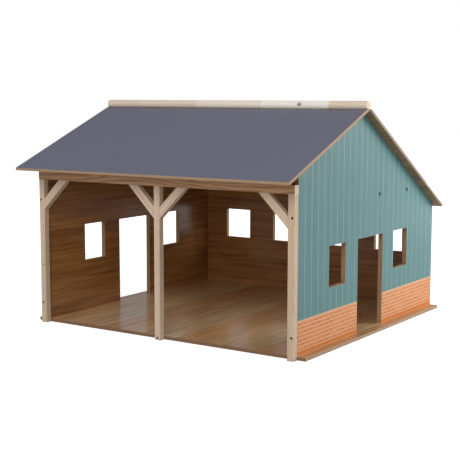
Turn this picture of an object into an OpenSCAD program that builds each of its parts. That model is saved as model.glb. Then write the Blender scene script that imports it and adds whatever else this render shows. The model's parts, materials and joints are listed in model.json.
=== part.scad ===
// Toy barn for 1:16 farm models. It has an open front of two bays between timber
// posts, two board gables with a doorway and two windows each, a back wall with
// four windows, and a roof whose front board swings up on a wooden dowel hinge.
// Frame: the origin is the centre of the floor board's underside, X runs along
// the eaves, Y from the open front to the back wall, Z up. Sizes are millimetres.

/* [Body] */
// Length over the two gables
barn_l = 560; // [520:1:640]
// Depth from the gables' front edges to the back of the wall
barn_d = 540; // [510:1:570]
// Thickness of the gables, the back wall and the tie board
board_t = 9; // [8:0.5:12]
// Thickness of the floor board
floor_t = 6; // [5:0.5:10]
// How far the floor board stands out past each gable
floor_lip = 16; // [6:0.5:30]

/* [Roof] */
// Thickness of the two roof boards
roof_t = 5; // [4:0.5:7]
// Distance of the ridge behind the gables' front edges
ridge_from_front = 216.5; // [205:0.5:230]
// Height of the hinge axis above the ground
ridge_z = 414.5; // [405:0.5:435]
// Slope of the front roof board in degrees
front_pitch = 22.5; // [20:0.1:25]
// Slope of the rear roof board in degrees
rear_pitch = 30.7; // [28:0.1:32]
// How far the front eave hangs out before the gables
front_eave = 57.3; // [35:0.1:80]
// How far the rear eave hangs out behind the back wall
rear_eave = 15.4; // [8:0.1:30]
// How far the roof boards hang out past each gable
verge = 16; // [8:0.5:28]

/* [Ridge hinge] */
// Diameter of the wooden dowel
dowel_d = 16; // [14:0.5:19]
// Length of the two end pieces of the dowel
end_knuckle_l = 75.5; // [60:0.25:100]
// Gap between neighbouring dowel pieces
knuckle_gap = 0.5; // [0.3:0.1:1.2]
// How far the dowel's ends lie inside the roof boards' ends
ridge_inset = 1.3; // [0:0.1:5]
// Diameter of the steel hinge pin
pin_d = 3; // [2.5:0.1:4]
// Radial clearance of the pin in the pieces that turn on it
pin_play = 0.08; // [0.04:0.01:0.1]
// Radial clearance of the pin in the pieces that hold it
pin_hold = 0.02; // [0.01:0.01:0.04]
// How deep the pin's ends lie inside the dowel
pin_recess = 0.6; // [0.2:0.1:3]
// How far the front board's top face lies below the hinge axis
front_drop = 3.2; // [0.5:0.1:4]
// How far the rear board's top face lies below the hinge axis
rear_drop = 1; // [0.5:0.1:2]
// Distance from the axis at which the front board meets its own dowel pieces
front_start = 4.2; // [3:0.1:5]
// Distance from the axis at which the rear board meets its own dowel pieces
rear_start = 3.5; // [3:0.1:4.5]
// Space between a board's notches and the other board's dowel pieces
notch_gap = 3; // [1.5:0.1:5]
// Space between the gables' peaks and what swings over them
swing_gap = 1; // [0.5:0.1:3]
// Space under the closed front board where it lies on the gables
rest_gap = 0.2; // [0.1:0.05:0.4]

/* [Gable openings] */
// Distance of the doorway's centre behind the gable's front edge
door_from_front = 262; // [250:0.5:275]
// Width of the doorway
door_w = 100.5; // [85:0.5:120]
// Height of the doorway's and the windows' heads above the ground
head_z = 177.5; // [160:0.5:195]
// Distance between the centres of the doorway and each window
window_offset = 126.5; // [115:0.5:135]
// Width of the gable windows
window_w = 60.5; // [45:0.5:70]
// Height of the gable windows
window_h = 72.5; // [50:0.5:90]

/* [Back wall windows] */
// Distance between the centres of neighbouring windows
back_pitch = 124.5; // [110:0.5:130]
// Width of the back windows
back_w = 63; // [45:0.5:75]
// Height of the back windows
back_h = 64; // [45:0.5:75]
// Height of wall between the back windows' heads and the wall's rear top edge
back_head_cover = 40.5; // [30:0.5:60]

/* [Timber frame] */
// Width and depth of the square posts
post_w = 12.5; // [11:0.5:15]
// Height of the beam that lies on the posts
beam_h = 14.7; // [12:0.1:18]
// Space between the beam's front top edge and the closed roof board above it
beam_gap = 21.6; // [10:0.1:40]
// Distance from a post along the beam, and down the post, to a brace's foot
brace_leg = 57; // [45:0.5:75]
// Width of the braces
brace_w = 14.4; // [10:0.2:18]
// Chamfer along the edges of posts, beam and braces
arris = 0.8; // [0.3:0.1:1.5]

/* [Tie board] */
// Distance of its centre line behind the gables' front edges
tie_from_front = 355.5; // [340:0.5:365]
// Width of the tie board
tie_w = 180; // [150:1:200]
// Space between its rear top edge and the roof board above it
tie_gap = 15; // [5:0.5:25]
// Distance between its two screws in each gable
tie_screw_pitch = 117.5; // [90:0.5:130]

/* [Fasteners] */
// Shank diameter of the wood screws
shank_d = 2.6; // [2:0.1:3]
// Head diameter of the small countersunk screws
small_head = 4.4; // [4:0.1:5]
// Head diameter of the screws in the tie board
tie_head = 6; // [5:0.1:7]
// How far every screw reaches into the second piece
bite = 20; // [12:0.5:24]
// How deep the heads of the post and beam screws are sunk
head_sink = 1.5; // [0.5:0.1:3]
// How deep the other heads are sunk
flush_sink = 0.2; // [0.1:0.05:0.4]
// Space around each screw and dowel in its hole
fit_gap = 0.1; // [0.05:0.01:0.15]
// Distance of the screws in the outer posts from the posts' ends
post_screw_inset = 38.5; // [30:0.5:60]
// Depth of the middle post's screw below the floor board's top face
foot_screw_cover = 2; // [1.8:0.1:2.5]
// Distance of the floor screws from the boards' ends and the doorway
screw_inset = 45; // [25:0.5:60]
// Diameter of the dowels that join gables and back wall
corner_dowel_d = 5; // [4:0.5:6]
// How far they reach into the gable
corner_dowel_gable = 6; // [4:0.5:7]
// How far they reach into the back wall
corner_dowel_wall = 18; // [12:0.5:25]
// Distance of these dowels from the back wall's lower and upper edge
corner_dowel_inset = 44; // [30:0.5:70]
// Diameter of the panel pins in the rear roof board
nail_d = 1.6; // [1.2:0.1:2]
// Head diameter of the panel pins
nail_head = 3.2; // [2.6:0.1:4]
// Number of panel pins along each gable
nails = 3; // [2:1:6]
// Distance of the first panel pin from the hinge axis
nail_first = 60; // [40:1:80]
// Distance of the last panel pin from the back wall's rear face, down the slope
nail_last = 46; // [30:1:80]

/* [Hidden] */
$fn = 64;

// How far a cut runs past the face it opens
over = 1;
// Depth and thickness of the cross slot in a screw head
slot_depth = 0.8;
slot_t = 0.6;
// Thickness of a panel pin's head
nail_head_t = 0.8;
// Slope of the braces, which run as far along the beam as down the post
brace_pitch = 45;
// The roof board that each dowel piece turns with, from left to right
DOWEL_OWNERS = ["front", "rear", "front", "rear", "front"];

front_y = -barn_d / 2;
back_y = barn_d / 2;
post_front_y = front_y - post_w;
ridge_y = front_y + ridge_from_front;
door_y = front_y + door_from_front;
tie_y = front_y + tie_from_front;
wall_y = back_y - board_t / 2;
inner_l = barn_l - 2 * board_t;
gable_x = barn_l / 2 - board_t / 2;
foot_screw_z = floor_t - foot_screw_cover;
roof_l = barn_l + 2 * verge;
ridge_l = roof_l - 2 * ridge_inset;
post_xs = [-(barn_l - post_w) / 2, 0, (barn_l - post_w) / 2];

// Depth of the roof boards' undersides below the hinge axis, along the normal
front_under = front_drop + roof_t;
rear_under = rear_drop + roof_t;
rear_depth = barn_d - ridge_from_front;
front_run = (ridge_from_front + front_eave + front_drop * sin(front_pitch)) / cos(front_pitch);
rear_run = (rear_depth + rear_eave + rear_drop * sin(rear_pitch)) / cos(rear_pitch);
notch_reach = dowel_d / 2 + notch_gap;
relief_r = max(dowel_d / 2, norm([front_start, front_under])) + swing_gap;

// Height of a slope that lies depth below the hinge axis, at a place before or behind it
function slope_z(pitch, away, depth) = ridge_z - away * tan(pitch) - depth / cos(pitch);

// What stands or hangs under the roof takes its height from it
beam_top = slope_z(front_pitch, ridge_from_front + post_w, front_under) - beam_gap;
post_h = beam_top - beam_h;
tie_top = slope_z(rear_pitch, tie_from_front + tie_w / 2 - ridge_from_front, rear_under) - tie_gap;
tie_z = tie_top - board_t / 2;
wall_top = slope_z(rear_pitch, rear_depth, rear_under);
back_sill = wall_top - back_head_cover - back_h;

// The inner pieces of the dowel share what the two end pieces leave
last_knuckle = len(DOWEL_OWNERS) - 1;
FRONT_KNUCKLES = [for (i = [0 : last_knuckle]) if (DOWEL_OWNERS[i] == "front") i];
REAR_KNUCKLES = [for (i = [0 : last_knuckle]) if (DOWEL_OWNERS[i] == "rear") i];
inner_knuckle_l =
    (ridge_l - 2 * end_knuckle_l - last_knuckle * knuckle_gap) / (last_knuckle - 1);

function knuckle_length(i) = (i == 0 || i == last_knuckle) ? end_knuckle_l : inner_knuckle_l;
function knuckle_x(i) =
    i == 0 ? -ridge_l / 2 : knuckle_x(i - 1) + knuckle_length(i - 1) + knuckle_gap;

// Ends of the notch that clears a dowel piece, open past the board's own ends
function notch_from(i) = i == 0 ? -roof_l / 2 - over : knuckle_x(i) - knuckle_gap;
function notch_to(i) =
    i == last_knuckle ? roof_l / 2 + over : knuckle_x(i) + knuckle_length(i) + knuckle_gap;

// Frames on the two slopes: Y runs down the slope from the hinge axis, Z out of it
module on_rear_slope() {
    translate([0, ridge_y, ridge_z]) rotate([-rear_pitch, 0, 0]) children();
}

module on_front_slope() {
    translate([0, ridge_y, ridge_z]) mirror([0, 1, 0]) rotate([-front_pitch, 0, 0]) children();
}

// Countersunk wood screw, head up at Z = 0 less its sinking, point down
module screw(head_d, length, sink) {
    head_r = head_d / 2;
    shank_r = shank_d / 2;
    color("dimgray") translate([0, 0, -sink]) difference() {
        rotate_extrude() polygon([
            [0, 0], [head_r, 0], [shank_r, shank_r - head_r],
            [shank_r, shank_r - length], [0, -length]
        ]);
        for (turn = [0, 90]) {
            rotate([0, 0, turn]) translate([-shank_r, -slot_t / 2, -slot_depth])
                cube([shank_d, slot_t, slot_depth + over]);
        }
    }
}

// The hole such a screw sits in, open at the top
module screw_seat(head_d, length, sink) {
    head_r = head_d / 2 + fit_gap;
    shank_r = shank_d / 2 + fit_gap;
    rotate_extrude() polygon([
        [0, over], [head_r, over], [head_r, -sink], [shank_r, shank_r - head_r - sink],
        [shank_r, -sink - length - fit_gap], [0, -sink - length - fit_gap]
    ]);
}

// Places of the fasteners, with Z out of each head
module at_post_screws() {
    for (side = [-1, 1], z = [post_screw_inset, post_h - post_screw_inset]) {
        translate([side * gable_x, post_front_y, z]) rotate([90, 0, 0]) children();
    }
}

module at_foot_screw() {
    translate([0, post_front_y, foot_screw_z]) rotate([90, 0, 0]) children();
}

module at_beam_screws() {
    for (x = post_xs) {
        translate([x, front_y - post_w / 2, beam_top]) children();
    }
}

module at_tie_screws() {
    for (side = [-1, 1], step = [-1, 1]) {
        translate([side * barn_l / 2, tie_y + step * tie_screw_pitch / 2, tie_z])
            rotate([0, side * 90, 0]) children();
    }
}

module at_floor_screws() {
    gable_ys = [
        front_y + screw_inset, door_y - door_w / 2 - screw_inset,
        door_y + door_w / 2 + screw_inset, back_y - board_t - screw_inset
    ];
    for (side = [-1, 1], y = gable_ys) {
        translate([side * gable_x, y, 0]) rotate([180, 0, 0]) children();
    }
    for (side = [-1, 0, 1]) {
        translate([side * (inner_l / 2 - screw_inset), wall_y, 0]) rotate([180, 0, 0]) children();
    }
}

module at_corner_dowels() {
    for (side = [-1, 1], z = [floor_t + corner_dowel_inset, wall_top - corner_dowel_inset]) {
        translate([side * (inner_l / 2 + corner_dowel_gable), wall_y, z])
            rotate([0, side * 90, 0]) children();
    }
}

module at_roof_pins() {
    nail_pitch = (rear_depth / cos(rear_pitch) - nail_last - nail_first) / (nails - 1);
    on_rear_slope() for (side = [-1, 1], i = [0 : nails - 1]) {
        translate([side * gable_x, nail_first + i * nail_pitch, -rear_drop]) children();
    }
}

// Lengths of the screws: through the first piece and on into the second
post_screw_l = post_w - head_sink + bite;
beam_screw_l = beam_h - head_sink + bite;
tie_screw_l = board_t - flush_sink + bite;
floor_screw_l = floor_t - flush_sink + bite;
corner_dowel_l = corner_dowel_gable + corner_dowel_wall;
nail_l = roof_t + bite;

module post_screw_seats() at_post_screws() screw_seat(small_head, post_screw_l, head_sink);
module foot_screw_seat() at_foot_screw() screw_seat(small_head, post_screw_l, head_sink);
module beam_screw_seats() at_beam_screws() screw_seat(small_head, beam_screw_l, head_sink);
module tie_screw_seats() at_tie_screws() screw_seat(tie_head, tie_screw_l, flush_sink);
module floor_screw_seats() at_floor_screws() screw_seat(small_head, floor_screw_l, flush_sink);

module corner_dowel_seats() {
    at_corner_dowels() translate([0, 0, -corner_dowel_l - fit_gap])
        cylinder(h = corner_dowel_l + 2 * fit_gap, d = corner_dowel_d + 2 * fit_gap);
}

module roof_pin_seats() {
    at_roof_pins() rotate_extrude() polygon([
        [0, over], [nail_head / 2 + fit_gap, over],
        [nail_head / 2 + fit_gap, -nail_head_t - flush_sink],
        [nail_d / 2 + fit_gap, -nail_head_t - flush_sink],
        [nail_d / 2 + fit_gap, -nail_l - fit_gap], [0, -nail_l - fit_gap]
    ]);
}

// Square stock with chamfered edges, its length along Z and centred on the axis
module timber(width, depth, length) {
    a = width / 2;
    b = depth / 2;
    linear_extrude(length) polygon([
        [-a, arris - b], [arris - a, -b], [a - arris, -b], [a, arris - b],
        [a, b - arris], [a - arris, b], [arris - a, b], [-a, b - arris]
    ]);
}

module floor_board() {
    color("peru") difference() {
        translate([-barn_l / 2 - floor_lip, front_y, 0])
            cube([barn_l + 2 * floor_lip, barn_d, floor_t]);
        foot_screw_seat();
        floor_screw_seats();
    }
}

// Outline of a gable, drawn with Y to the right and Z up
module gable_outline() {
    rest_depth = front_under + rest_gap;
    window_sill = head_z - window_h;
    // The two slopes meet where they are equally high
    peak = (rest_depth / cos(front_pitch) - rear_under / cos(rear_pitch))
        / (tan(front_pitch) + tan(rear_pitch));
    difference() {
        polygon([
            [front_y, floor_t],
            [front_y, slope_z(front_pitch, ridge_from_front, rest_depth)],
            [ridge_y + peak, slope_z(rear_pitch, peak, rear_under)],
            [back_y, wall_top], [back_y, floor_t]
        ]);
        translate([ridge_y, ridge_z]) circle(relief_r);
        translate([door_y - door_w / 2, floor_t - over]) square([door_w, head_z - floor_t + over]);
        for (step = [-1, 1]) {
            translate([door_y + step * window_offset - window_w / 2, window_sill])
                square([window_w, window_h]);
        }
    }
}

module gable(side) {
    color("cadetblue") difference() {
        translate([side * gable_x - board_t / 2, 0, 0])
            rotate([90, 0, 90]) linear_extrude(board_t) gable_outline();
        post_screw_seats();
        tie_screw_seats();
        floor_screw_seats();
        corner_dowel_seats();
        roof_pin_seats();
    }
}

module back_wall() {
    color("cadetblue") difference() {
        translate([-inner_l / 2, 0, 0]) rotate([90, 0, 90]) linear_extrude(inner_l) polygon([
            [back_y - board_t, floor_t], [back_y, floor_t], [back_y, wall_top],
            [back_y - board_t, slope_z(rear_pitch, rear_depth - board_t, rear_under)]
        ]);
        for (i = [-1.5 : 1 : 1.5]) {
            translate([i * back_pitch - back_w / 2, back_y - board_t - over, back_sill])
                cube([back_w, board_t + 2 * over, back_h]);
        }
        floor_screw_seats();
        corner_dowel_seats();
    }
}

module post(i) {
    color("burlywood") difference() {
        translate([post_xs[i], front_y - post_w / 2, 0]) timber(post_w, post_w, post_h);
        post_screw_seats();
        foot_screw_seat();
        beam_screw_seats();
    }
}

module front_beam() {
    color("tan") difference() {
        translate([-barn_l / 2, front_y - post_w / 2, post_h + beam_h / 2])
            rotate([90, 0, 90]) timber(post_w, beam_h, barn_l);
        beam_screw_seats();
    }
}

// Brace under the beam, on the given side of a post: sloping stock, mitred against
// the post's face and the beam's underside
module brace(i, side) {
    face_x = post_xs[i] + side * post_w / 2;
    upper_leg = brace_leg - brace_w / cos(brace_pitch);
    color("burlywood") translate([face_x, front_y - post_w / 2, post_h])
        mirror([side < 0 ? 1 : 0, 0, 0]) intersection() {
            translate([0, post_w / 2, 0]) rotate([90, 0, 0]) linear_extrude(post_w) polygon([
                [0, -brace_leg], [brace_leg, 0], [upper_leg, 0], [0, -upper_leg]
            ]);
            translate([0, 0, -(brace_leg + upper_leg) / 2]) rotate([0, brace_pitch, 0])
                translate([0, 0, -brace_leg]) timber(brace_w, post_w, 3 * brace_leg);
        }
}

module tie_board() {
    color("sienna") difference() {
        translate([-inner_l / 2, tie_y - tie_w / 2, tie_z - board_t / 2])
            cube([inner_l, tie_w, board_t]);
        tie_screw_seats();
    }
}

// Roof board in its slope's frame: the tabs reach in to the board's own dowel
// pieces, and the notches clear the other board's
module roof_board(start, run, under, notches) {
    color("slategray") difference() {
        translate([-roof_l / 2, start, -under]) cube([roof_l, run - start, roof_t]);
        for (i = notches) {
            translate([notch_from(i), start - over, -under - over])
                cube([notch_to(i) - notch_from(i), notch_reach - start + over, roof_t + 2 * over]);
        }
    }
}

module front_roof() {
    on_front_slope() roof_board(front_start, front_run, front_under, REAR_KNUCKLES);
}

module rear_roof() {
    difference() {
        on_rear_slope() roof_board(rear_start, rear_run, rear_under, FRONT_KNUCKLES);
        roof_pin_seats();
    }
}

// Dowel piece in its slope's frame, bored for the pin and rebated for its board
module ridge_dowel(i, bore_gap, start, drop) {
    length = knuckle_length(i);
    color("wheat") difference() {
        translate([knuckle_x(i), 0, 0]) rotate([0, 90, 0]) cylinder(h = length, d = dowel_d);
        translate([knuckle_x(i) - over, 0, 0]) rotate([0, 90, 0])
            cylinder(h = length + 2 * over, d = pin_d + 2 * bore_gap);
        translate([knuckle_x(i) - over, start, -dowel_d])
            cube([length + 2 * over, dowel_d, dowel_d - drop]);
    }
}

module front_ridge_dowel(i) {
    on_front_slope() ridge_dowel(i, pin_play, front_start, front_drop);
}

module rear_ridge_dowel(i) {
    on_rear_slope() ridge_dowel(i, pin_hold, rear_start, rear_drop);
}

module hinge_pin() {
    length = ridge_l - 2 * pin_recess;
    color("silver") translate([-length / 2, ridge_y, ridge_z]) rotate([0, 90, 0])
        cylinder(h = length, d = pin_d);
}

module post_screws() at_post_screws() screw(small_head, post_screw_l, head_sink);
module foot_screw() at_foot_screw() screw(small_head, post_screw_l, head_sink);
module beam_screws() at_beam_screws() screw(small_head, beam_screw_l, head_sink);
module tie_screws() at_tie_screws() screw(tie_head, tie_screw_l, flush_sink);
module floor_screws() at_floor_screws() screw(small_head, floor_screw_l, flush_sink);

module corner_dowels() {
    color("burlywood") at_corner_dowels() translate([0, 0, -corner_dowel_l])
        cylinder(h = corner_dowel_l, d = corner_dowel_d);
}

module roof_pins() {
    color("silver") at_roof_pins() rotate_extrude() polygon([
        [0, -flush_sink], [nail_head / 2, -flush_sink],
        [nail_head / 2, -nail_head_t - flush_sink], [nail_d / 2, -nail_head_t - flush_sink],
        [nail_d / 2, nail_d - nail_l], [0, -nail_l]
    ]);
}

floor_board();
gable(-1);  // left_gable
gable(1);  // right_gable
back_wall();
post(0);  // left_post
post(1);  // middle_post
post(2);  // right_post
front_beam();
brace(0, 1);  // left_bay_left_brace
brace(1, -1);  // left_bay_right_brace
brace(1, 1);  // right_bay_left_brace
brace(2, -1);  // right_bay_right_brace
tie_board();
front_roof();
rear_roof();
front_ridge_dowel(0);  // ridge_dowel_1
rear_ridge_dowel(1);  // ridge_dowel_2
front_ridge_dowel(2);  // ridge_dowel_3
rear_ridge_dowel(3);  // ridge_dowel_4
front_ridge_dowel(4);  // ridge_dowel_5
hinge_pin();
post_screws();
foot_screw();
beam_screws();
tie_screws();
floor_screws();
corner_dowels();
roof_pins();
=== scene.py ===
import json
import math

import bpy
from mathutils import Euler, Matrix, Vector


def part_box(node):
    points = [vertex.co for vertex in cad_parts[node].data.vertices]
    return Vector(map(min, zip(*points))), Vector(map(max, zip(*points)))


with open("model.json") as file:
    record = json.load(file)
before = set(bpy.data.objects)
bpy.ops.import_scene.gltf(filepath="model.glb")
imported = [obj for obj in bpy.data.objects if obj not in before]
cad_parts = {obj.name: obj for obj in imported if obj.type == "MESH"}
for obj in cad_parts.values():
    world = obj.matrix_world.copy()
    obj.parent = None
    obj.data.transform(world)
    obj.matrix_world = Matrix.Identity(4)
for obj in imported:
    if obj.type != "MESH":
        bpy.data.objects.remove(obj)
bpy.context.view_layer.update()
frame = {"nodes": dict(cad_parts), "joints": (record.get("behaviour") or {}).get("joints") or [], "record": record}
nodes = frame["nodes"]

# The barn's own measures in metres, taken from the frame
GABLE_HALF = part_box("right_gable")[1].x
BOARD_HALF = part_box("floor_board")[1].x
BARN_FRONT, BARN_BACK = (corner.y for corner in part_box("floor_board"))
RIDGE_Y, RIDGE_Z = frame["joints"][0]["pos_m"][1:]
# The roof boards as the CAD model has them: they slope down towards -Y in front and +Y at the rear
FRONT, REAR = -1, 1
FRONT_PITCH, REAR_PITCH = math.radians(22.5), math.radians(30.7)
ROOF_THICKNESS = 0.005


def roof_run(node, side, pitch):
    """How far a roof board's eave lies down the slope from the ridge dowel's axis."""
    low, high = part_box(node)
    eave_y = low.y if side == FRONT else high.y
    eave_z = low.z + ROOF_THICKNESS * math.cos(pitch)
    return side * (eave_y - RIDGE_Y) * math.cos(pitch) + (RIDGE_Z - eave_z) * math.sin(pitch)


SIDEWAYS, LENGTHWAYS, UP = range(3)
OPENINGS = {each["name"]: each["box_m"] for each in frame["record"]["physics"]["openings"]}
# The record's boxes are this much smaller all round than the openings that they stand for
OPENING_PLAY = 0.0005


def opening(name, along):
    """Centre along the wall, centre up, half width and half height of an opening, in that order."""
    low, high = OPENINGS[name]
    centre = [(low[axis] + high[axis]) / 2 for axis in (along, UP)]
    half = [(high[axis] - low[axis]) / 2 + OPENING_PLAY for axis in (along, UP)]
    return centre + half


# Both gables have the same openings
GABLE_OPENINGS = [opening("right_" + name, LENGTHWAYS) for name in ("doorway", "front_window", "rear_window")]
BACK_OPENINGS = [opening(f"back_window_{number}", SIDEWAYS) for number in (1, 2, 3, 4)]

# The photograph's viewpoint, fitted to its corners, in metres, degrees and millimetres
CAMERA_PLACE = (1.1472, -1.7601, 0.4329)
CAMERA_PITCH, CAMERA_YAW, CAMERA_ROLL = 7.187, 33.8741, 0.0633
CAMERA_LENS, SENSOR_WIDTH = 83.897, 36


def add_camera():
    """The photograph's own viewpoint, on a frame of equal sides."""
    data = bpy.data.cameras.new("camera")
    data.sensor_width = SENSOR_WIDTH
    data.lens = CAMERA_LENS
    camera = bpy.data.objects.new("camera", data)
    bpy.context.scene.collection.objects.link(camera)
    aim = Euler((math.radians(90 - CAMERA_PITCH), 0, math.radians(CAMERA_YAW))).to_matrix()
    roll = Matrix.Rotation(math.radians(CAMERA_ROLL), 3, "Z")
    camera.rotation_euler = (aim @ roll).to_euler()
    camera.location = CAMERA_PLACE
    bpy.context.scene.camera = camera


add_camera()


# Colours
def paint(red, green, blue):
    """A colour as it is read off a colour card, 0 to 255, made linear."""
    shares = [c / 255 for c in (red, green, blue)]
    return tuple(s / 12.92 if s <= 0.04045 else ((s + 0.055) / 1.055) ** 2.4 for s in shares) + (1,)


def darker(colour, share):
    """A linear colour with each of its channels brought down to a share of itself."""
    return tuple(share * channel for channel in colour[:3]) + (1,)


# Node helpers
def connect(tree, socket, value):
    """Feeds an input from another socket, or sets it to a plain value."""
    if isinstance(value, bpy.types.NodeSocket):
        tree.links.new(value, socket)
    else:
        socket.default_value = value


def put(tree, kind, sockets=None, **settings):
    """Adds a shader node with its settings and feeds its inputs."""
    made = tree.nodes.new("ShaderNode" + kind)
    for name, value in settings.items():
        setattr(made, name, value)
    for name, value in (sockets or {}).items():
        connect(tree, made.inputs[name], value)
    return made


def sums(tree, operation, *values, clamp=False):
    made = put(tree, "Math", dict(enumerate(values)), operation=operation, use_clamp=clamp)
    return made.outputs[0]


def plus(tree, first, second, clamp=False):
    return sums(tree, "ADD", first, second, clamp=clamp)


def minus(tree, first, second, clamp=False):
    return sums(tree, "SUBTRACT", first, second, clamp=clamp)


def times(tree, first, second, clamp=False):
    return sums(tree, "MULTIPLY", first, second, clamp=clamp)


def unsigned(tree, value):
    return sums(tree, "ABSOLUTE", value)


def nearest(tree, distances):
    """The least of several distances."""
    least = distances[0]
    for distance in distances[1:]:
        least = sums(tree, "MINIMUM", least, distance)
    return least


def weighed(tree, less, *pairs):
    """The sum of values with their weights, less a threshold, held between 0 and 1."""
    (value, weight), *others = pairs
    total = times(tree, value, weight)
    for value, weight in others:
        total = plus(tree, total, times(tree, value, weight))
    return minus(tree, total, less, clamp=True)


def vectors(tree, operation, *values):
    return put(tree, "VectorMath", dict(enumerate(values)), operation=operation).outputs[0]


def length_of(tree, vector):
    return put(tree, "VectorMath", {0: vector}, operation="LENGTH").outputs["Value"]


def parts_of(tree, vector):
    return put(tree, "SeparateXYZ", {0: vector}).outputs


def join(tree, x, y, z):
    return put(tree, "CombineXYZ", {0: x, 1: y, 2: z}).outputs[0]


def colours(tree, share, first, second, way="MIX"):
    made = put(tree, "Mix", {0: share, 6: first, 7: second}, data_type="RGBA", blend_type=way)
    return made.outputs[2]


def lay_over(tree, base, mask, strength, colour):
    """Lays a colour over the base where the mask is, as strongly as given."""
    return colours(tree, times(tree, mask, strength), base, colour)


def values_mixed(tree, share, first, second):
    return put(tree, "Mix", {0: share, 2: first, 3: second}).outputs[0]


def soft_step(tree, value, low, high):
    """0 below low, 1 above high, and smooth between; low may be the larger."""
    made = put(tree, "MapRange", {0: value, 1: low, 2: high}, interpolation_type="SMOOTHSTEP")
    return made.outputs[0]


def spread(tree, value, low, high):
    """Stretches 0 to 1 over low to high."""
    return put(tree, "MapRange", {0: value, 3: low, 4: high}).outputs[0]


def noise(tree, vector, scale, detail=2.0, roughness=0.5):
    sockets = {"Vector": vector, "Scale": scale, "Detail": detail, "Roughness": roughness}
    return put(tree, "TexNoise", sockets).outputs["Fac"]


def drawn_noise(tree, vector, scales, detail=2.0, roughness=0.5):
    """Noise with a scale of its own along each axis, so that it draws out where the scale is small."""
    return noise(tree, vectors(tree, "MULTIPLY", vector, scales), 1.0, detail, roughness)


def own_tone(tree, number):
    """A value between 0 and 1 that each whole number keeps for itself."""
    return put(tree, "TexWhiteNoise", {"W": number}, noise_dimensions="1D").outputs["Value"]


def from_near_end(tree, share):
    """How far a share of a length lies from the nearer end."""
    return sums(tree, "MINIMUM", share, minus(tree, 1.0, share))


def new_group(name, inputs, outputs):
    """An empty shader group with named sockets: returns its tree, its inputs and its outlet."""
    tree = bpy.data.node_groups.new(name, "ShaderNodeTree")
    for label, kind in inputs.items():
        tree.interface.new_socket(label, in_out="INPUT", socket_type="NodeSocket" + kind)
    for label in outputs:
        tree.interface.new_socket(label, in_out="OUTPUT", socket_type="NodeSocketFloat")
    entry = tree.nodes.new("NodeGroupInput")
    outlet = tree.nodes.new("NodeGroupOutput")
    return tree, entry.outputs, outlet


def close_group(tree, outlet, **results):
    """Links a group's results to its outlet; an underscore stands for a blank in a label."""
    for label, socket in results.items():
        tree.links.new(socket, outlet.inputs[label.replace("_", " ")])
    return tree


def use(tree, group, **sockets):
    """Puts a group into a tree and feeds it: returns the group's outputs."""
    made = tree.nodes.new("ShaderNodeGroup")
    made.node_tree = group
    for label, value in sockets.items():
        connect(tree, made.inputs[label.replace("_", " ")], value)
    return made.outputs


# Shader groups that several materials share
def make_wood_figure():
    """Growth rings, fibres, pores and streaks of a board whose grain runs along the vector's X."""
    tree, given, outlet = new_group(
        "wood figure",
        {"Vector": "Vector", "Seed": "Float", "Ring Spacing": "Float", "Waviness": "Float"},
        ["Bands", "Fibres", "Pores", "Streaks"],
    )
    offset = join(tree, *(times(tree, given["Seed"], stride) for stride in (3.17, 1.73, 0.91)))
    place = vectors(tree, "ADD", given["Vector"], offset)
    wander = drawn_noise(tree, place, (3.0, 22.0, 22.0), 3.0, 0.55)
    wander = times(tree, minus(tree, wander, 0.5), given["Waviness"])
    _, y, z = parts_of(tree, given["Vector"])
    depth = spread(tree, drawn_noise(tree, place, (2.2, 0.0, 0.0), 1.0), -0.02, 0.05)
    from_pith = length_of(tree, join(tree, 0.0, y, plus(tree, z, depth)))
    ring = sums(tree, "DIVIDE", from_pith, given["Ring Spacing"])
    ring = sums(tree, "FRACT", plus(tree, ring, times(tree, wander, 6.0)))
    late = sums(tree, "POWER", ring, 2.2)
    bands = times(tree, late, soft_step(tree, ring, 1.0, 0.9))
    fibres = drawn_noise(tree, place, (16.0, 700.0, 700.0), 4.0, 0.6)
    pores = soft_step(tree, drawn_noise(tree, place, (70.0, 1900.0, 1900.0), 1.0), 0.6, 0.74)
    streaks = drawn_noise(tree, place, (7.0, 130.0, 130.0), 3.0, 0.6)
    return close_group(tree, outlet, Bands=bands, Fibres=fibres, Pores=pores, Streaks=streaks)


def make_knot():
    """A grown-in knot: its dark heart and the rings that bend round it."""
    tree, given, outlet = new_group(
        "knot",
        {"Vector": "Vector", "Centre": "Vector", "Radius": "Float"},
        ["Heart", "Swirl"],
    )
    x, y, z = parts_of(tree, vectors(tree, "SUBTRACT", given["Vector"], given["Centre"]))
    ragged = minus(tree, noise(tree, given["Vector"], 420.0), 0.5)
    reach = length_of(tree, join(tree, times(tree, x, 0.7), y, z))
    reach = sums(tree, "DIVIDE", reach, given["Radius"])
    reach = plus(tree, reach, times(tree, ragged, 0.7))
    heart = soft_step(tree, reach, 1.0, 0.45)
    rings = sums(tree, "SINE", times(tree, reach, 9.0))
    rings = plus(tree, times(tree, rings, 0.5), 0.5)
    swirl = times(tree, rings, soft_step(tree, reach, 2.6, 0.9))
    return close_group(tree, outlet, Heart=heart, Swirl=swirl)


def make_opening_rim():
    """Distance from the border of an upright rectangular opening."""
    tree, given, outlet = new_group(
        "opening rim",
        {"Along": "Float", "Up": "Float", "Centre Along": "Float", "Centre Up": "Float",
         "Half Along": "Float", "Half Up": "Float"},
        ["Distance"],
    )
    gaps = []
    for way in ("Along", "Up"):
        off = unsigned(tree, minus(tree, given[way], given["Centre " + way]))
        gaps.append(minus(tree, off, given["Half " + way]))
    distance = sums(tree, "MAXIMUM", *gaps)
    return close_group(tree, outlet, Distance=unsigned(tree, distance))


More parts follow.
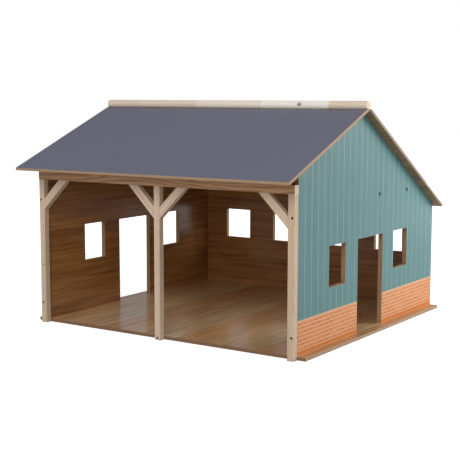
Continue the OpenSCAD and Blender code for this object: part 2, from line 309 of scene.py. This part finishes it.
def make_edge_wear():
    """Rubbed spots along an edge, from the distance to it."""
    tree, given, outlet = new_group(
        "edge wear",
        {"Vector": "Vector", "Distance": "Float", "Width": "Float", "Amount": "Float"},
        ["Wear"],
    )
    patch = soft_step(tree, noise(tree, given["Vector"], 45.0, 3.0, 0.6), 0.42, 0.66)
    nibble = spread(tree, noise(tree, given["Vector"], 900.0), 0.4, 1.4)
    reach = times(tree, given["Width"], nibble)
    near = minus(tree, 1.0, sums(tree, "DIVIDE", given["Distance"], reach), clamp=True)
    wear = times(tree, near, spread(tree, patch, 0.25, 1.0))
    return close_group(tree, outlet, Wear=times(tree, wear, given["Amount"], clamp=True))


def make_dust():
    """Fine dust that settles on what faces up, thicker in soft patches."""
    tree, given, outlet = new_group(
        "dust", {"Vector": "Vector", "Facing Up": "Float", "Amount": "Float"}, ["Dust"]
    )
    patches = spread(tree, noise(tree, given["Vector"], 6.0, 4.0, 0.6), 0.2, 1.0)
    specks = soft_step(tree, noise(tree, given["Vector"], 1300.0, 1.0), 0.6, 0.8)
    dust = times(tree, patches, spread(tree, specks, 0.35, 1.0))
    dust = times(tree, dust, soft_step(tree, given["Facing Up"], 0.2, 0.9))
    return close_group(tree, outlet, Dust=times(tree, dust, given["Amount"], clamp=True))


def make_foil_surface():
    """The skin of printed foil: mottling of the print, an orange-peel height and fine scuffs."""
    tree, given, outlet = new_group(
        "foil surface", {"Vector": "Vector"}, ["Mottle", "Height", "Scuffs"]
    )
    broad = noise(tree, given["Vector"], 9.0, 3.0, 0.6)
    fine = noise(tree, given["Vector"], 650.0, 2.0, 0.6)
    mottle = plus(tree, times(tree, broad, 0.6), times(tree, fine, 0.4))
    peel = noise(tree, given["Vector"], 480.0)
    scuffs = soft_step(tree, drawn_noise(tree, given["Vector"], (60.0, 900.0, 700.0)), 0.62, 0.8)
    return close_group(tree, outlet, Mottle=mottle, Height=peel, Scuffs=scuffs)


def make_cladding():
    """Printed upright boards: the light joint, each board's own tone and its rounded shade."""
    tree, given, outlet = new_group(
        "cladding",
        {"Along": "Float", "First": "Float", "Pitch": "Float", "Joint": "Float"},
        ["Joint", "Board Tone", "Shade"],
    )
    run = sums(tree, "DIVIDE", minus(tree, given["Along"], given["First"]), given["Pitch"])
    place = sums(tree, "FRACT", run)
    tone = own_tone(tree, sums(tree, "FLOOR", run))
    from_joint = times(tree, from_near_end(tree, place), given["Pitch"])
    joint = soft_step(tree, from_joint, given["Joint"], times(tree, given["Joint"], 0.35))
    shade = soft_step(tree, place, 0.16, 0.0)
    return close_group(tree, outlet, Joint=joint, Board_Tone=tone, Shade=shade)


BRICK_LENGTH, BRICK_COURSE, BRICK_MORTAR = 0.0174, 0.00683, 0.0010
BRICK_WOBBLE = 0.0006


def make_brick_bond():
    """Printed bricks in stretcher bond, counted up from the floor."""
    tree, given, outlet = new_group(
        "brick bond", {"Along": "Float", "Up": "Float"}, ["Mortar", "Brick Tone", "Roughened"]
    )
    flat = join(tree, given["Along"], given["Up"], 0.0)
    wobble = times(tree, minus(tree, noise(tree, flat, 240.0), 0.5), BRICK_WOBBLE)
    flat = vectors(tree, "ADD", flat, join(tree, wobble, wobble, 0.0))
    bricks = put(tree, "TexBrick", {
        "Vector": flat, "Color1": (0, 0, 0, 1), "Color2": (1, 1, 1, 1), "Mortar": (0.5, 0.5, 0.5, 1),
        "Scale": 1.0, "Mortar Size": BRICK_MORTAR, "Mortar Smooth": 0.35, "Bias": 0.0,
        "Brick Width": BRICK_LENGTH, "Row Height": BRICK_COURSE,
    }, offset=0.5, offset_frequency=2, squash=1.0)
    tone = put(tree, "RGBToBW", {0: bricks.outputs["Color"]}).outputs[0]
    grit = noise(tree, flat, 700.0, 2.0, 0.6)
    course = sums(tree, "FRACT", sums(tree, "DIVIDE", parts_of(tree, flat)[1], BRICK_COURSE))
    bed = soft_step(tree, unsigned(tree, minus(tree, course, 0.5)), 0.3, 0.42)
    upright = times(tree, bricks.outputs["Fac"], 0.85)
    mortar = sums(tree, "MAXIMUM", bed, upright)
    return close_group(tree, outlet, Mortar=mortar, Brick_Tone=tone, Roughened=grit)


WOOD = make_wood_figure()
KNOT = make_knot()
RIM = make_opening_rim()
WEAR = make_edge_wear()
DUST = make_dust()
FOIL = make_foil_surface()
CLADDING = make_cladding()
BRICKS = make_brick_bond()

# What the materials have in common; a seed gives a board or a piece of pine a figure of its own
WALL_SEED, ROOF_SEED, FLOOR_SEED, TIE_SEED = 3.0, 11.0, 21.0, 31.0
RAW_ROUGHNESS = 0.8
FOIL_RELIEF, VENEER_RELIEF, PINE_RELIEF, STEEL_RELIEF = 0.00006, 0.00005, 0.00008, 0.00002
# How far a normal leans one way where its face begins to look that way, and where it fully does
FACING, ROOF_FACING, END_FACING = (0.6, 0.8), (0.6, 0.75), (0.85, 0.95)
EDGE_DARK, EDGE_LIGHT = paint(114, 84, 57), paint(175, 141, 106)
PRINT_LIGHT, PRINT_DARK = paint(181, 128, 73), paint(120, 76, 39)


def new_material(name, specular=0.5):
    """A Principled material: returns it, its tree, its shader and the object's place and normal."""
    made = bpy.data.materials.new(name)
    made.use_nodes = True
    tree = made.node_tree
    tree.nodes.clear()
    shader = put(tree, "BsdfPrincipled", {"Specular IOR Level": specular})
    outlet = put(tree, "OutputMaterial")
    tree.links.new(shader.outputs[0], outlet.inputs["Surface"])
    coords = put(tree, "TexCoord").outputs
    return made, tree, shader, coords["Object"], coords["Normal"]


def finish_with(tree, shader, colour, roughness, height, depth):
    """Joins the finished colour, roughness and relief to the shader."""
    bump = put(tree, "Bump", {"Height": height, "Strength": 1.0, "Distance": depth})
    for label, socket in (("Base Color", colour), ("Roughness", roughness), ("Normal", bump.outputs[0])):
        tree.links.new(socket, shader.inputs[label])


def facing(tree, lean, limits=FACING, way=1):
    """1 on the faces that look the way that lean counts up, or down with way at -1."""
    return soft_step(tree, lean, way * limits[0], way * limits[1])


def brown_print(tree, vector, seed, light, dark, spacing=0.018, waviness=0.35):
    """The printed wood of walls, floor and undersides: returns its colour and its relief."""
    figure = use(tree, WOOD, Vector=vector, Seed=seed, Ring_Spacing=spacing, Waviness=waviness)
    share = weighed(tree, 1.0, (figure["Bands"], 0.3), (figure["Streaks"], 2.0), (figure["Fibres"], 0.7))
    colour = colours(tree, share, light, dark)
    colour = lay_over(tree, colour, figure["Pores"], 0.3, darker(dark, 0.55))
    relief = minus(tree, figure["Fibres"], times(tree, figure["Pores"], 0.8))
    return colour, relief


def raw_edge(tree, vector):
    """Sawn fibreboard, warm brown with short felted fibres: returns its colour and its felt."""
    felt = drawn_noise(tree, vector, (500.0, 500.0, 700.0), 4.0, 0.65)
    soft = noise(tree, vector, 30.0)
    share = plus(tree, times(tree, felt, 0.7), times(tree, soft, 0.5))
    return colours(tree, share, EDGE_DARK, EDGE_LIGHT), felt


def foil_roughness(tree, foil, low, high, scuffing):
    """The foil's roughness: it goes from low to high with the print's mottling, and scuffs add to it."""
    return plus(tree, spread(tree, foil["Mottle"], low, high), times(tree, foil["Scuffs"], scuffing))


def board_height(tree, faces, felt, foil, relief, brown):
    """A board's height: felt on its edges, orange peel on its faces, and grain where brown is 1."""
    height = values_mixed(tree, faces, felt, foil["Height"])
    return plus(tree, height, times(tree, times(tree, relief, brown), 0.4))


# The walls' print in metres: its boards, where its bricks begin, and the heights over which tones fade
CLADDING_START, CLADDING_PITCH, CLADDING_JOINT = 0.0223, 0.0222, 0.0011
BRICK_START = 0.00075
LOW_COURSE_FADE = (0.0155, 0.0125)
TOP_LINE_FADE = (0.0638, 0.0645)
BRICK_TOP_FADE = (0.0654, 0.065)
# Radius of the tie board's screw heads, and the distances over which the painted countersink shade round them
# fades
SCREW_HEAD = 0.003
COUNTERSINK_SHADE_FADE = (0.0044, 0.0036)


def green_cladding(tree, place, along, start):
    """Printed green boards, counted from the wall's end at start."""
    boards = use(tree, CLADDING, Along=along, First=start + CLADDING_START, Pitch=CLADDING_PITCH,
                 Joint=CLADDING_JOINT)
    streaks = drawn_noise(tree, place, (160.0, 160.0, 5.0), 4.0, 0.6)
    green = colours(tree, streaks, paint(65, 112, 112), paint(90, 138, 139))
    green = lay_over(tree, green, boards["Board Tone"], 0.25, paint(76, 129, 127))
    green = lay_over(tree, green, boards["Shade"], 0.3, paint(55, 99, 99))
    return lay_over(tree, green, boards["Joint"], 0.42, paint(170, 214, 210))


def brick_base(tree, along, up, low):
    """Printed bricks: low marks the lowest course, which is brighter and has fainter mortar."""
    bond = use(tree, BRICKS, Along=along, Up=minus(tree, up, BRICK_START))
    brick = colours(tree, bond["Brick Tone"], paint(204, 103, 28), paint(219, 127, 50))
    brick = lay_over(tree, brick, bond["Roughened"], 0.2, paint(230, 164, 122))
    brick = lay_over(tree, brick, low, 0.95, paint(208, 112, 4))
    mortar = times(tree, bond["Mortar"], spread(tree, low, 0.9, 0.3))
    brick = colours(tree, mortar, brick, paint(228, 184, 134))
    return lay_over(tree, brick, soft_step(tree, up, *TOP_LINE_FADE), 0.8, paint(231, 206, 167))


def countersink_shade(tree, y, z):
    """A dark ring of painted countersink shade and dirt round the tie board's two screw heads."""
    low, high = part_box("tie_screws")
    screw_z = (low.z + high.z) / 2
    distances = []
    for screw_y in (low.y + SCREW_HEAD, high.y - SCREW_HEAD):
        away = join(tree, minus(tree, y, screw_y), minus(tree, z, screw_z), 0.0)
        distances.append(length_of(tree, away))
    return soft_step(tree, nearest(tree, distances), *COUNTERSINK_SHADE_FADE)


def from_wall_edges(tree, along, up, openings, ends):
    """Distance to the nearest border of an opening or end of the wall."""
    distances = [
        use(tree, RIM, Along=along, Up=up, Centre_Along=centre, Centre_Up=middle,
            Half_Along=half, Half_Up=rise)["Distance"]
        for centre, middle, half, rise in openings
    ]
    distances += [unsigned(tree, minus(tree, along, end)) for end in ends]
    return nearest(tree, distances)


def wall_board(name, side):
    """A gable (side -1 or 1) or the back wall (side 0): cladding and bricks outside, brown wood inside."""
    made, tree, shader, place, normal = new_material(name)
    x, y, z = parts_of(tree, place)
    nx, ny, _ = parts_of(tree, normal)
    if side:
        along, out, grain = y, times(tree, nx, float(side)), join(tree, y, z, x)
        openings, ends = GABLE_OPENINGS, (BARN_FRONT, BARN_BACK)
    else:
        along, out, grain = x, ny, join(tree, x, z, y)
        openings, ends = BACK_OPENINGS, (-GABLE_HALF, GABLE_HALF)
    outside = facing(tree, out)
    inside = facing(tree, out, way=-1)
    foil = use(tree, FOIL, Vector=place)

    low = soft_step(tree, z, *LOW_COURSE_FADE)
    green = green_cladding(tree, place, along, ends[0])
    outer = colours(tree, soft_step(tree, z, *BRICK_TOP_FADE), green, brick_base(tree, along, z, low))
    outer = colours(tree, spread(tree, foil["Mottle"], 0.0, 0.1), outer, paint(150, 160, 160))
    inner, relief = brown_print(tree, grain, WALL_SEED + side, PRINT_LIGHT, PRINT_DARK)
    edge, felt = raw_edge(tree, place)

    distance = from_wall_edges(tree, along, z, openings, ends)
    wear = use(tree, WEAR, Vector=place, Distance=distance, Width=0.0009, Amount=0.7)["Wear"]
    outer = colours(tree, wear, outer, paint(196, 176, 150))
    if side:
        # A dark ring round each tie screw head: painted countersink shade and dirt
        outer = lay_over(tree, outer, countersink_shade(tree, y, z), 0.8, paint(44, 42, 34))
    inner = colours(tree, wear, inner, paint(150, 116, 84))
    colour = colours(tree, outside, colours(tree, inside, edge, inner), outer)

    faces = plus(tree, outside, inside, clamp=True)
    skin = minus(tree, foil_roughness(tree, foil, 0.28, 0.38, 0.1), times(tree, inside, 0.1))
    roughness = values_mixed(tree, faces, RAW_ROUGHNESS, skin)
    # The lowest course is scuffed dull along the floor
    roughness = values_mixed(tree, low, roughness, RAW_ROUGHNESS)
    height = board_height(tree, faces, felt, foil, relief, inside)
    finish_with(tree, shader, colour, roughness, height, FOIL_RELIEF)
    return made


# The painted shade beside the dowel fades out between these distances down the slope
DOWEL_SHADE_FADE = (0.0165, 0.0075)


def roof_board(name, side, pitch, run, edge_tone):
    """Slate foil on top, brown print below and sawn edges; side says which way the board slopes down."""
    made, tree, shader, place, normal = new_material(name)
    x, y, z = parts_of(tree, place)
    _, _, nz = parts_of(tree, normal)
    top = facing(tree, nz, ROOF_FACING)
    under = facing(tree, nz, ROOF_FACING, way=-1)
    foil = use(tree, FOIL, Vector=place)
    slate = colours(tree, foil["Mottle"], paint(100, 102, 118), paint(111, 113, 131))
    brown, relief = brown_print(tree, place, ROOF_SEED + side, paint(168, 134, 96), paint(112, 84, 58))
    edge, felt = raw_edge(tree, place)
    edge = colours(tree, 0.45, edge, edge_tone)

    down = plus(tree, times(tree, minus(tree, y, RIDGE_Y), side * math.cos(pitch)),
                times(tree, minus(tree, z, RIDGE_Z), -math.sin(pitch)))
    to_verge = minus(tree, BOARD_HALF, unsigned(tree, x))
    to_eave = minus(tree, run, down)
    distance = unsigned(tree, nearest(tree, [to_verge, to_eave]))
    wear = use(tree, WEAR, Vector=place, Distance=distance, Width=0.0010, Amount=0.8)["Wear"]
    slate = colours(tree, wear, slate, paint(176, 166, 160))
    # Painted shade darkens the foil just below the ridge dowel, where the dowel sits on the board
    slate = lay_over(tree, slate, soft_step(tree, down, *DOWEL_SHADE_FADE), 0.55, paint(82, 72, 68))
    dust = use(tree, DUST, Vector=place, Facing_Up=nz, Amount=0.06)["Dust"]
    slate = colours(tree, dust, slate, paint(190, 186, 180))
    colour = colours(tree, top, colours(tree, under, edge, brown), slate)

    faces = plus(tree, top, under, clamp=True)
    skin = minus(tree, foil_roughness(tree, foil, 0.44, 0.56, 0.08), times(tree, under, 0.26))
    roughness = values_mixed(tree, faces, RAW_ROUGHNESS, skin)
    height = board_height(tree, faces, felt, foil, relief, under)
    finish_with(tree, shader, colour, roughness, height, FOIL_RELIEF)
    return made


# The floor's veneer leaves in metres: where one begins, its width, and the next one's place in the log
LEAF_START, LEAF_WIDTH = 0.032, 0.168
LEAF_SHIFT_DEEP, LEAF_SHIFT_ACROSS = 0.31, 0.013
STRIP_BLUR = 0.0005


def veneer_leaves(tree, x, y):
    """The floor's print, leaf by leaf: returns its colour and its relief."""
    run = sums(tree, "DIVIDE", minus(tree, x, LEAF_START), LEAF_WIDTH)
    leaf = sums(tree, "FLOOR", run)
    part = sums(tree, "FRACT", run)
    across = times(tree, minus(tree, part, 0.5), LEAF_WIDTH)
    across = plus(tree, across, times(tree, leaf, LEAF_SHIFT_ACROSS))
    grain = join(tree, y, across, times(tree, leaf, LEAF_SHIFT_DEEP))
    brown, relief = brown_print(tree, grain, FLOOR_SEED, paint(226, 195, 150), paint(176, 140, 101),
                                spacing=0.02, waviness=0.8)
    # Each leaf is redder towards one side
    red = colours(tree, 1.0, brown, paint(250, 226, 210), "MULTIPLY")
    brown = colours(tree, soft_step(tree, part, 0.0, 0.9), red, brown)
    seam = soft_step(tree, from_near_end(tree, part), 0.005, 0.0)
    brown = lay_over(tree, brown, seam, 0.5, paint(130, 92, 60))
    return lay_over(tree, brown, own_tone(tree, leaf), 0.15, paint(196, 158, 116)), relief


def floor_veneer():
    """Satin veneer leaves side by side, with dust and wear on them, and sawn edges."""
    made, tree, shader, place, normal = new_material("floor veneer")
    x, y, _ = parts_of(tree, place)
    _, ny, nz = parts_of(tree, normal)
    faces = facing(tree, unsigned(tree, nz))
    foil = use(tree, FOIL, Vector=place)
    brown, relief = veneer_leaves(tree, x, y)
    dust = use(tree, DUST, Vector=place, Facing_Up=nz, Amount=0.08)["Dust"]
    brown = colours(tree, dust, brown, paint(190, 176, 158))
    edge, felt = raw_edge(tree, place)

    to_side = minus(tree, BOARD_HALF, unsigned(tree, x))
    to_front = minus(tree, BARN_BACK, unsigned(tree, y))
    distance = unsigned(tree, nearest(tree, [to_side, to_front]))
    wear = use(tree, WEAR, Vector=place, Distance=distance, Width=0.0012, Amount=0.8)["Wear"]
    brown = colours(tree, wear, brown, paint(178, 142, 108))
    # The strips outside the gables are darker, and the edges facing front and back are darkened as painted shade
    strip = soft_step(tree, unsigned(tree, x), GABLE_HALF - STRIP_BLUR, GABLE_HALF + STRIP_BLUR)
    brown = colours(tree, strip, brown, paint(215, 208, 200), "MULTIPLY")
    edge = colours(tree, 0.5, edge, paint(184, 160, 134))
    # Painted shade on the sawn edges that face front and back
    soil_and_shade = facing(tree, unsigned(tree, ny))
    edge = colours(tree, soil_and_shade, edge, paint(206, 188, 176), "MULTIPLY")
    colour = colours(tree, faces, edge, brown)

    roughness = values_mixed(tree, faces, RAW_ROUGHNESS, foil_roughness(tree, foil, 0.14, 0.24, 0.1))
    height = plus(tree, felt, times(tree, relief, 0.5))
    height = values_mixed(tree, faces, height, foil["Height"])
    finish_with(tree, shader, colour, roughness, height, VENEER_RELIEF)
    return made


def tie_board_brown():
    """Brown print above and below, dusty on top, and sawn edges."""
    made, tree, shader, place, normal = new_material("tie board brown")
    _, _, nz = parts_of(tree, normal)
    faces = facing(tree, unsigned(tree, nz))
    brown, _ = brown_print(tree, place, TIE_SEED, PRINT_LIGHT, PRINT_DARK)
    dust = use(tree, DUST, Vector=place, Facing_Up=nz, Amount=0.15)["Dust"]
    brown = colours(tree, dust, brown, paint(180, 168, 150))
    edge, felt = raw_edge(tree, place)
    foil = use(tree, FOIL, Vector=place)
    colour = colours(tree, faces, edge, brown)
    roughness = values_mixed(tree, faces, RAW_ROUGHNESS, spread(tree, foil["Mottle"], 0.32, 0.44))
    height = values_mixed(tree, faces, felt, foil["Height"])
    finish_with(tree, shader, colour, roughness, height, FOIL_RELIEF)
    return made


def pine_grain(tree, axis, place, normal):
    """The place with its X turned along the grain, and how far a face looks along the grain."""
    x, y, z = parts_of(tree, place)
    nx, _, nz = parts_of(tree, normal)
    if axis == "Z":
        return join(tree, z, y, x), nz
    if axis == "X":
        return join(tree, x, y, z), nx
    turned = math.sqrt(0.5)
    lean = 1.0 if axis == "rising" else -1.0
    up = times(tree, plus(tree, z, times(tree, x, lean)), turned)
    over = times(tree, minus(tree, times(tree, x, lean), z), turned)
    return join(tree, up, y, over), times(tree, plus(tree, nz, times(tree, nx, lean)), turned)


def pine(name, axis, seed, light, dark, knots=(), spacing=0.0032, end_tone=None, waviness=0.35):
    """Sanded pine: its grain runs along X or Z, or rises or falls at 45 degrees towards +X."""
    made, tree, shader, place, normal = new_material(name, specular=0.35)
    grain, end = pine_grain(tree, axis, place, normal)
    # Each piece is cut from its own place in the log
    from_log = (seed * 0.37, 0.011 * math.sin(seed * 2.1), 0.02 + 0.012 * math.cos(seed))
    cut = vectors(tree, "ADD", grain, from_log)
    figure = use(tree, WOOD, Vector=cut, Seed=seed, Ring_Spacing=spacing, Waviness=waviness)
    share = weighed(tree, 0.3, (figure["Bands"], 0.75), (figure["Streaks"], 0.5), (figure["Fibres"], 0.35))
    colour = colours(tree, share, light, dark)
    colour = lay_over(tree, colour, figure["Pores"], 0.2, darker(dark, 0.6))
    relief = figure["Fibres"]
    for centre, radius in knots:
        spot = use(tree, KNOT, Vector=place, Centre=centre, Radius=radius)
        colour = lay_over(tree, colour, spot["Swirl"], 0.45, dark)
        colour = lay_over(tree, colour, spot["Heart"], 0.8, paint(140, 96, 68))
        relief = minus(tree, relief, spot["Heart"])
    sawn = facing(tree, unsigned(tree, end), END_FACING)
    if end_tone:
        colour = colours(tree, sawn, colour, end_tone)
    else:
        colour = lay_over(tree, colour, sawn, 0.25, dark)
    roughness = spread(tree, figure["Fibres"], 0.5, 0.72)
    finish_with(tree, shader, colour, roughness, relief, PINE_RELIEF)
    return made


def steel(name, tint, rough, soil_and_shade, metallic=1.0, specular=0.5):
    """Drawn steel of screws and pins, with fine turning marks and darker soiling."""
    made, tree, shader, place, _ = new_material(name, specular)
    marks = drawn_noise(tree, place, (2600.0, 2600.0, 900.0), 3.0, 0.6)
    soil = soft_step(tree, noise(tree, place, 600.0), 0.4, 0.7)
    colour = lay_over(tree, tint, soil, soil_and_shade, darker(tint, 0.35))
    shader.inputs["Metallic"].default_value = metallic
    finish_with(tree, shader, colour, spread(tree, marks, rough, rough + 0.2), marks, STEEL_RELIEF)
    return made


# Every node gets its material
def dress(node, material):
    """Gives a CAD node its one material."""
    mesh = nodes[node].data
    mesh.materials.clear()
    mesh.materials.append(material)


def dress_boards():
    """Walls, floor, tie board and roof."""
    dress("left_gable", wall_board("left gable board", -1))
    dress("right_gable", wall_board("right gable board", 1))
    dress("back_wall", wall_board("back wall board", 0))
    dress("floor_board", floor_veneer())
    dress("tie_board", tie_board_brown())
    for node, side, pitch, edge_tone in (
        ("front_roof", FRONT, FRONT_PITCH, paint(206, 172, 142)),
        ("rear_roof", REAR, REAR_PITCH, paint(151, 139, 133)),
    ):
        run = roof_run(node, side, pitch)
        dress(node, roof_board(node.replace("_", " ") + " board", side, pitch, run, edge_tone))


BRACE_SEED, DOWEL_SEED, CORNER_SEED = 5.0, 11.0, 17.0
PINE_LIGHT, PINE_DARK = paint(226, 204, 180), paint(190, 157, 127)
# Knots are centres and radii in metres; the fourth dowel piece is the only one with a knot
POST_KNOTS = [((-0.2702, -0.2825, 0.112), 0.0020)]
DOWEL_KNOTS = {4: [((0.158, -0.0612, 0.4160), 0.0046)]}
# The five dowel pieces' light and dark tones, from left to right
DOWEL_TONES = (
    (paint(240, 220, 204), paint(217, 190, 171)),
    (paint(242, 226, 209), paint(221, 197, 175)),
    (paint(249, 239, 223), paint(240, 218, 196)),
    (paint(254, 251, 240), paint(248, 238, 221)),
    (paint(236, 221, 199), paint(229, 203, 177)),
)


def dress_timber():
    """Posts, beam, braces and dowels: each has a figure, and some a tone, of its own; the beam's darker tone is
    partly painted shade.
    """
    dress("left_post", pine("left post pine", "Z", 1.0, PINE_LIGHT, PINE_DARK, POST_KNOTS))
    dress("middle_post", pine("middle post pine", "Z", 2.0, PINE_LIGHT, PINE_DARK))
    dress("right_post", pine("right post pine", "Z", 3.0, paint(219, 196, 170), paint(183, 150, 120)))
    # The beam's long faces are darker and redder than the posts: partly its own grain, partly painted shade from
    # the eave; its end faces keep the posts' light pine tone
    dress("front_beam", pine("front beam pine", "X", 4.0, paint(219, 172, 130), paint(128, 82, 52),
                             spacing=0.0055, end_tone=paint(220, 196, 172), waviness=1.1))
    for number, (node, lean) in enumerate((
        ("left_bay_left_brace", "rising"), ("left_bay_right_brace", "falling"),
        ("right_bay_left_brace", "rising"), ("right_bay_right_brace", "falling"),
    )):
        wood = pine(node.replace("_", " ") + " pine", lean, BRACE_SEED + number, PINE_LIGHT, PINE_DARK)
        dress(node, wood)
    for number, (light, dark) in enumerate(DOWEL_TONES, 1):
        knots = DOWEL_KNOTS.get(number, ())
        wood = pine(f"ridge dowel {number} pine", "X", DOWEL_SEED + number, light, dark, knots)
        dress(f"ridge_dowel_{number}", wood)
    dress("corner_dowels", pine("corner dowel pine", "X", CORNER_SEED, *DOWEL_TONES[1]))


def dress_metal():
    """Screws and pins."""
    screw_steel = steel("screw steel", paint(92, 78, 64), 0.4, 0.8)
    dark_screw_steel = steel("dark screw steel", paint(22, 18, 13), 0.75, 0.5, metallic=0.0, specular=0.1)
    bright_steel = steel("bright steel", paint(196, 196, 196), 0.22, 0.3)
    for material, fasteners in (
        (screw_steel, ("beam_screws", "floor_screws")),
        (dark_screw_steel, ("post_screws", "foot_screw", "tie_screws")),
        (bright_steel, ("hinge_pin", "roof_pins")),
    ):
        for node in fasteners:
            dress(node, material)


dress_boards()
dress_timber()
dress_metal()

# The white studio: a lamp is its name, place, target, size in metres and brightness
STUDIO_REACH, STUDIO_DROP = 6.0, 0.0003
WHITE, STUDIO_GREY, SURROUND = (1, 1, 1, 1), (0.6, 0.6, 0.6, 1), (0.86, 0.92, 1, 1)
FLOOR_GLOW, FLOOR_GLOSS, FLOOR_FADE = 0.8, 0.1, (0.4, 1.6)
AMBIENT, SURROUND_GLOSS = 0.18, 0.35
LAMPS = (
    ("key", (1.0, -2.7, 2.4), (0, -0.1, 0.2), 1.6, 5.0),
    ("fill", (-1.2, -2.6, 2.4), (0, -0.1, 0.2), 1.6, 0.15),
    ("low front", (0.7, -3.2, 1.3), (0, -0.1, 0.2), 1.8, 2.6),
    ("right", (3.0, 1.0, 1.3), (0.28, 0, 0.2), 1.4, 2.0),
    ("near right", (1.3, 1.0, 0.7), (0.28, 0.15, 0.2), 0.5, 4.6),
    ("side", (1.0, 0.45, 0.5), (0.28, 0.2, 0.2), 0.4, 6.4),
    ("rear", (2.0, 2.4, 1.0), (0.28, 0.1, 0.2), 1.2, 3.8),
    ("top", (0.2, -0.2, 3.0), (0, 0, 0.2), 2.4, 0.45),
)
# These light the sides that the photograph doesn't show, and leave no gloss on the floor board
LOW_LAMPS = (
    ("left low", (-3.0, 0.3, 0.45), (-0.28, 0, 0.2), 1.4, 5.0),
    ("rear low", (-0.6, 3.3, 0.45), (0, 0.27, 0.15), 1.6, 5.0),
)
# This one is only mirrored in the glossy foil
SHEEN_CARD = ("sheen card", (0.36, 1.3, 0.25), (0.28, 0.1, 0.15), 0.8, 1.1)


def add_floor():
    """A studio floor that is white to the camera and grows brighter away from the barn."""
    mesh = bpy.data.meshes.new("studio_floor")
    signs = ((-1, -1), (1, -1), (1, 1), (-1, 1))
    corners = [(STUDIO_REACH * x, STUDIO_REACH * y, -STUDIO_DROP) for x, y in signs]
    mesh.from_pydata(corners, [], [(0, 1, 2, 3)])
    floor = bpy.data.objects.new("studio_floor", mesh)
    bpy.context.scene.collection.objects.link(floor)
    made = bpy.data.materials.new("studio floor")
    made.use_nodes = True
    tree = made.node_tree
    tree.nodes.clear()
    lit = put(tree, "BsdfDiffuse", {"Color": STUDIO_GREY})
    away = length_of(tree, put(tree, "TexCoord").outputs["Object"])
    strength = spread(tree, soft_step(tree, away, *FLOOR_FADE), FLOOR_GLOW, 1.0)
    glow = put(tree, "Emission", {"Color": WHITE, "Strength": strength})
    both = put(tree, "AddShader", {0: lit.outputs[0], 1: glow.outputs[0]})
    rays = put(tree, "LightPath").outputs
    mirrored = put(tree, "Emission", {"Color": SURROUND, "Strength": FLOOR_GLOSS})
    shown = put(tree, "AddShader", {0: lit.outputs[0], 1: mirrored.outputs[0]})
    mixed = put(tree, "MixShader", {0: rays["Is Glossy Ray"], 1: lit.outputs[0], 2: shown.outputs[0]})
    mixed = put(tree, "MixShader", {0: rays["Is Camera Ray"], 1: mixed.outputs[0], 2: both.outputs[0]})
    outlet = put(tree, "OutputMaterial")
    tree.links.new(mixed.outputs[0], outlet.inputs["Surface"])
    mesh.materials.append(made)


def add_softbox(name, location, target, size, strength):
    """A square studio lamp: strength is its brightness where 1 is white."""
    data = bpy.data.lights.new(name, "AREA")
    data.shape = "SQUARE"
    data.size = size
    data.energy = strength * math.pi * size * size
    lamp = bpy.data.objects.new(name, data)
    bpy.context.scene.collection.objects.link(lamp)
    lamp.location = location
    lamp.rotation_euler = (Vector(target) - Vector(location)).to_track_quat("-Z", "Y").to_euler()
    lamp.visible_camera = False
    return lamp


def add_world():
    """White to the camera, a dim light all round, and a cool tone in what is glossy."""
    world = bpy.data.worlds.new("studio")
    bpy.context.scene.world = world
    world.use_nodes = True
    tree = world.node_tree
    tree.nodes.clear()
    rays = put(tree, "LightPath").outputs
    seen = sums(tree, "MAXIMUM", rays["Is Camera Ray"], rays["Is Transmission Ray"])
    around = put(tree, "Background", {"Color": WHITE, "Strength": AMBIENT})
    mirrored = put(tree, "Background", {"Color": SURROUND, "Strength": SURROUND_GLOSS})
    white = put(tree, "Background", {"Color": WHITE, "Strength": 1.0})
    mixed = put(tree, "MixShader", {0: rays["Is Glossy Ray"], 1: around.outputs[0], 2: mirrored.outputs[0]})
    mixed = put(tree, "MixShader", {0: seen, 1: mixed.outputs[0], 2: white.outputs[0]})
    outlet = put(tree, "OutputWorld")
    tree.links.new(mixed.outputs[0], outlet.inputs["Surface"])


add_floor()
add_world()
for lamp in LAMPS:
    add_softbox(*lamp)
for lamp in LOW_LAMPS:
    add_softbox(*lamp).visible_glossy = False
add_softbox(*SHEEN_CARD).visible_diffuse = False
bpy.context.scene.view_settings.view_transform = "Standard"
